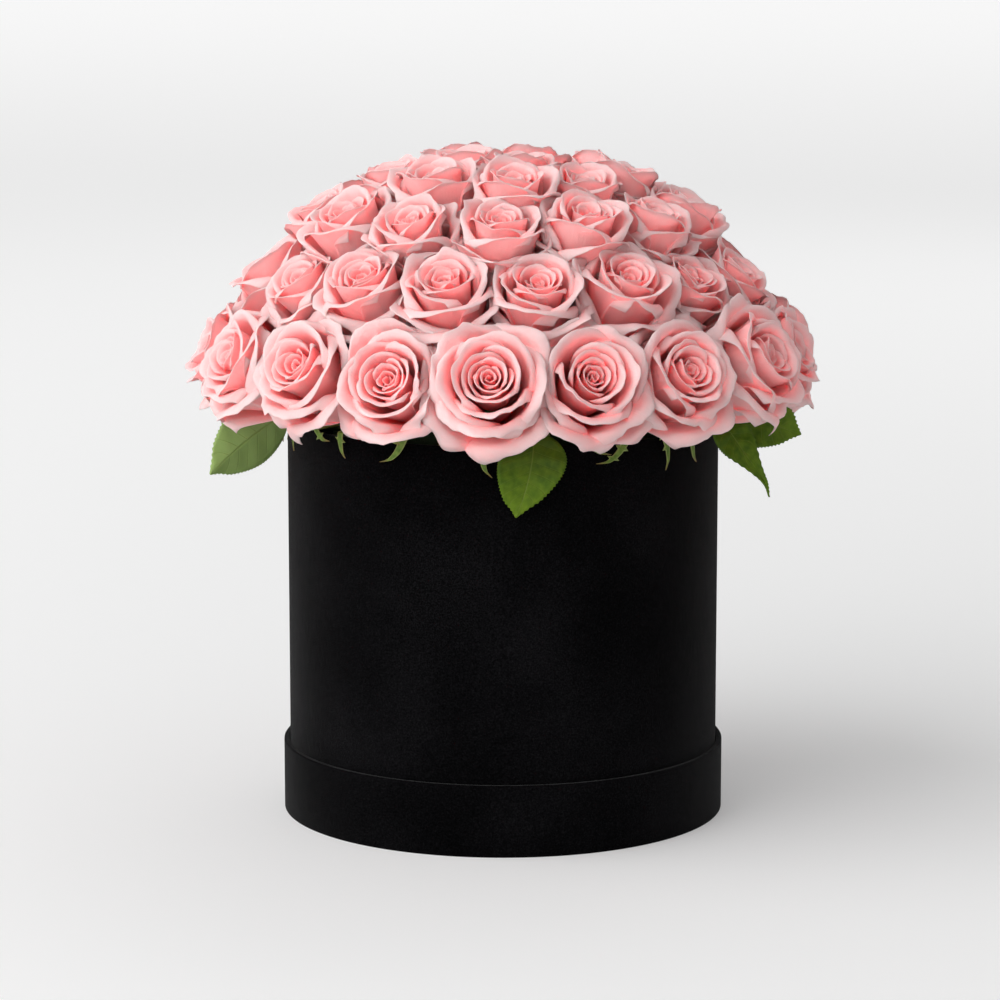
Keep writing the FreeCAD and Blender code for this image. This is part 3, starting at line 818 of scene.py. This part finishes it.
def make_leaf(name, gap, droop, roll):
    """A toothed rose leaf, folded along its midrib, on a stalk that runs from the foam over the rim."""
    count, turn, _ = RINGS[1]
    azimuth = math.radians(turn + (gap + 0.5) * 360.0 / count - 90.0)
    droop, roll = math.radians(droop), math.radians(roll)
    tip_radius = BOX_RADIUS + LEAF_GAP + LEAF_WIDTH / 5 * math.sin(droop) * math.sin(abs(roll))
    out = Vector((math.cos(azimuth), math.sin(azimuth), 0.0))
    base = out * tip_radius + UP * (RIM + LEAF_RISE)
    root = out * STALK_ROOT + UP * STALK_ROOT_HEIGHT
    turned = Matrix.Rotation(azimuth, 3, "Z") @ Matrix.Rotation(droop, 3, "Y")
    turned = np.array(turned @ Matrix.Rotation(roll, 3, "X"))
    rng = random.Random(len(name) * 7 + gap)
    bend, fold = rng.uniform(0.25, 0.5), rng.uniform(0.12, 0.25)
    phase = rng.uniform(0.0, 6.28)
    sway, tail = LEAF_SWAY.get(name, 0.0), LEAF_TAIL.get(name, 0.0)
    long, wide = LEAF_SIZE.get(name, (1.0, 1.0))
    long, wide = long * LEAF_LENGTH, wide * LEAF_WIDTH

    def place(across, along):
        half = 0.5 * wide * np.sin(np.pi * along**0.80) ** 0.75 * (1.0 - 0.12 * along)
        odd_row = np.rint(along * LEAF_ROWS).astype(int) % 2 == 1
        toothed = (np.abs(across) > 0.95) & (along > 0.12) & (along < 0.97)
        tooth = np.where(toothed & odd_row, LEAF_TOOTH, 0.0)
        half = half + tooth
        point = smoothstep(0.80, 1.0, along)
        drawn_out = smoothstep(0.55, 0.80, along) * min(tail, 1.0)
        half = half * (1.0 - 0.5 * point) * (1.0 - 0.75 * drawn_out) + 0.25
        angle = bend * (along - 0.25)
        height = -0.5 * long * bend * (along - 0.15) ** 2 - 0.4 * tail * point**2
        height = height + fold * np.abs(across) * half + 0.8 * across**2 * np.sin(9.0 * along + phase)
        puckers = np.sin(26.0 * (along - 0.08 * np.abs(across))) * np.sin(np.pi * np.abs(across))
        height = height + 0.25 * puckers
        length = along * long + tail * drawn_out - STALK_OVERLAP + 0.9 * tooth
        local = np.stack((length - 0.3 * height * angle, across * half + sway * along**2, height), axis=1)
        return keep_off_box(local @ turned.T + np.array(base)) * MM

    bm = bmesh.new()
    bm.loops.layers.uv.new("UVMap")
    painted_light = bm.verts.layers.float.new("leaf_painted_light")
    # Each point carries its leaf's share of painted light
    for vert in grid_sheet(bm, LEAF_COLUMNS, LEAF_ROWS, place):
        vert[painted_light] = LEAF_PAINTED_LIGHT.get(name, 0.0)
    piece = finish(bm, name + "_blade", LEAF, "arrangement", "leaf_green", name)
    thicken(piece, LEAF_THICKNESS)
    stalk = bmesh.new()
    along = base - root
    profile = [
        (0.0, 0.0),
        (1.0, 0.0),
        (0.95, 0.5 * along.length),
        (0.8, along.length),
        (0.0, along.length + 1.0),
    ]
    place_stalk = Matrix.Translation(root) @ frame_along(along.normalized()).to_4x4()
    add_turned(stalk, profile, STALK_STEPS, place_stalk)
    finish(stalk, name + "_stalk", STEM, "arrangement", "leaf_green", name)


# Velvet

def rounded(corners, radius, steps=4):
    """A closed profile whose corners are rounded by a radius each."""
    points = []
    for index, corner in enumerate(corners):
        corner = Vector(corner)
        before = Vector(corners[index - 1])
        after = Vector(corners[(index + 1) % len(corners)])
        reach = min(radius[index], 0.45 * (before - corner).length, 0.45 * (after - corner).length)
        first = corner + (before - corner).normalized() * reach
        last = corner + (after - corner).normalized() * reach
        for step in range(steps + 1):
            part = step / steps
            points.append(first * (1 - part) ** 2 + corner * 2 * part * (1 - part) + last * part**2)
    return points


def make_sleeve(name, body, corners, radii, node):
    """A tube of velvet from its section, with a lapped seam at the back."""
    bm = bmesh.new()
    profile = rounded(corners, radii)
    verts = [bm.verts.new((point.x, 0.0, point.y)) for point in profile]
    edges = [bm.edges.new((verts[index - 1], vert)) for index, vert in enumerate(verts)]
    spin_round(bm, verts + edges, SLEEVE_STEPS)
    bmesh.ops.remove_doubles(bm, verts=bm.verts[:], dist=MERGE)
    bmesh.ops.recalc_face_normals(bm, faces=bm.faces[:])
    lap_seam(bm, max(point.x for point in profile))
    bmesh.ops.scale(bm, vec=(MM, MM, MM), verts=bm.verts[:])
    finish(bm, name, VELVET_BLACK, body, "velvet_black", node)


def lap_seam(bm, radius):
    """Laps the velvet over itself at the back: a sharp edge that fades out to one side."""
    for place in (0.0, SEAM_EDGE):
        geom = bm.verts[:] + bm.edges[:] + bm.faces[:]
        bmesh.ops.bisect_plane(bm, geom=geom, dist=MERGE, plane_co=(place, 0, 0), plane_no=(1, 0, 0))
    for vert in bm.verts:
        out = math.hypot(vert.co.x, vert.co.y)
        over = vert.co.x - SEAM_EDGE
        if vert.co.y > 0.0 and out > radius - 0.1 and -0.01 <= over < SEAM_WIDTH:
            rise = 1.0 + SEAM_RISE * (1.0 - max(over, 0.0) / SEAM_WIDTH) / out
            vert.co.x *= rise
            vert.co.y *= rise


def make_velvet():
    outer, inner = BOX_RADIUS - VELVET, BOX_RADIUS - VELVET - BOARD
    make_sleeve(
        "box_velvet",
        "box",
        [
            (outer, BOX_SEAT),
            (BOX_RADIUS, BOX_SEAT),
            (BOX_RADIUS, RIM),
            (inner - VELVET, RIM),
            (inner - VELVET, RIM - TURN_IN),
            (inner, RIM - TURN_IN),
            (inner, RIM - VELVET),
            (outer, RIM - VELVET),
        ],
        (0.0, 0.3, 0.9, 0.9, 0.1, 0.0, 0.0, 0.0),
        "box_wall_velvet",
    )
    wall = LID_BORE + VELVET
    make_sleeve(
        "lid_velvet",
        "lid",
        [
            (wall + BOARD, 0.0),
            (LID_RADIUS, 0.0),
            (LID_RADIUS, LID_HEIGHT),
            (LID_BORE, LID_HEIGHT),
            (LID_BORE, LID_HEIGHT - TURN_IN),
            (wall, LID_HEIGHT - TURN_IN),
            (wall, LID_HEIGHT - VELVET),
            (wall + BOARD, LID_HEIGHT - VELVET),
        ],
        (0.0, 0.6, 0.9, 0.9, 0.1, 0.0, 0.0, 0.0),
        "lid_rim_velvet",
    )


def finish_cad_nodes():
    """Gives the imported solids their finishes, by a word in their names."""
    finishes = {
        "board": BOARD_GREY,
        "lining": LINING,
        "paper": LINING,
        "tub": TUB,
        "foam": FOAM,
        "velvet": VELVET_BLACK,
    }
    for name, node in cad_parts.items():
        for word, material in finishes.items():
            if word in name:
                node.data.materials.clear()
                node.data.materials.append(material)


# Studio

def seen_directly(tree):
    """One for rays from the camera, straight or by way of gloss or glass, and nought for the rest."""
    path = add(tree, "ShaderNodeLightPath")
    mirrored = math_of(tree, "MAXIMUM", path.outputs["Is Glossy Ray"], path.outputs["Is Transmission Ray"])
    return math_of(tree, "MAXIMUM", path.outputs["Is Camera Ray"], mirrored)


def floor_material():
    """Pale floor, whose far parts stay as pale as the near ones for the camera."""
    material, tree, shader = new_material("floor_pale")
    distance = add(tree, "ShaderNodeVectorMath", {0: object_coords(tree)}, operation="LENGTH")
    near = math_of(tree, "POWER", FLOOR_FADE, distance.outputs["Value"])
    glow = span(tree, near, 1.0, 0.0, FLOOR_GLOW_NEAR, FLOOR_GLOW_FAR)
    tree.links.new(times(tree, glow, seen_directly(tree)), shader.inputs["Emission Strength"])
    set_inputs(
        shader,
        {
            "Base Color": (0.80, 0.80, 0.80, 1.0),
            "Roughness": 0.9,
            "Specular IOR Level": 0.1,
            "Emission Color": (1.0, 1.0, 1.0, 1.0),
        },
    )
    return material


def make_studio():
    scene = bpy.context.scene
    scene.view_settings.view_transform = "Standard"

    bm = bmesh.new()
    bmesh.ops.create_grid(bm, x_segments=1, y_segments=1, size=FLOOR_HALF)
    mesh = bpy.data.meshes.new("floor")
    bm.to_mesh(mesh)
    bm.free()
    mesh.materials.append(floor_material())
    floor = bpy.data.objects.new("floor", mesh)
    scene.collection.objects.link(floor)

    world = bpy.data.worlds.new("studio")
    scene.world = world
    world.use_nodes = True
    tree = world.node_tree
    sky = tree.nodes["Background"]
    sky.inputs["Color"].default_value = (1.0, 1.0, 1.0, 1.0)
    level = span(tree, seen_directly(tree), 0.0, 1.0, SKY_LIGHT, SKY_SEEN)
    tree.links.new(level, sky.inputs["Strength"])

    for name, (place, size, watts) in LAMPS.items():
        light = bpy.data.lights.new(name, "AREA")
        light.shape = "DISK"
        light.size = size
        light.energy = watts
        lamp = bpy.data.objects.new(name, light)
        lamp.location = place
        lamp.rotation_euler = (Vector(LAMP_AIM) - Vector(place)).to_track_quat("-Z", "Y").to_euler()
        scene.collection.objects.link(lamp)

    lens = bpy.data.cameras.new("camera")
    lens.sensor_width = CAMERA_SENSOR
    lens.lens = CAMERA_LENS
    lens.clip_end = CAMERA_REACH
    camera = bpy.data.objects.new("camera", lens)
    camera.location = CAMERA_PLACE
    camera.rotation_euler = (math.radians(90.0) - CAMERA_DOWN, 0.0, 0.0)
    scene.collection.objects.link(camera)
    scene.camera = camera


def main():
    roses = rose_frames()
    for rose in roses:
        make_rose(rose, roses)
    for ring in RINGS:
        make_calyxes(ring, roses)
        make_stems(ring, roses)
    for name, leaf in LEAVES.items():
        make_leaf(name, *leaf)
    make_velvet()
    finish_cad_nodes()
    make_studio()


main()
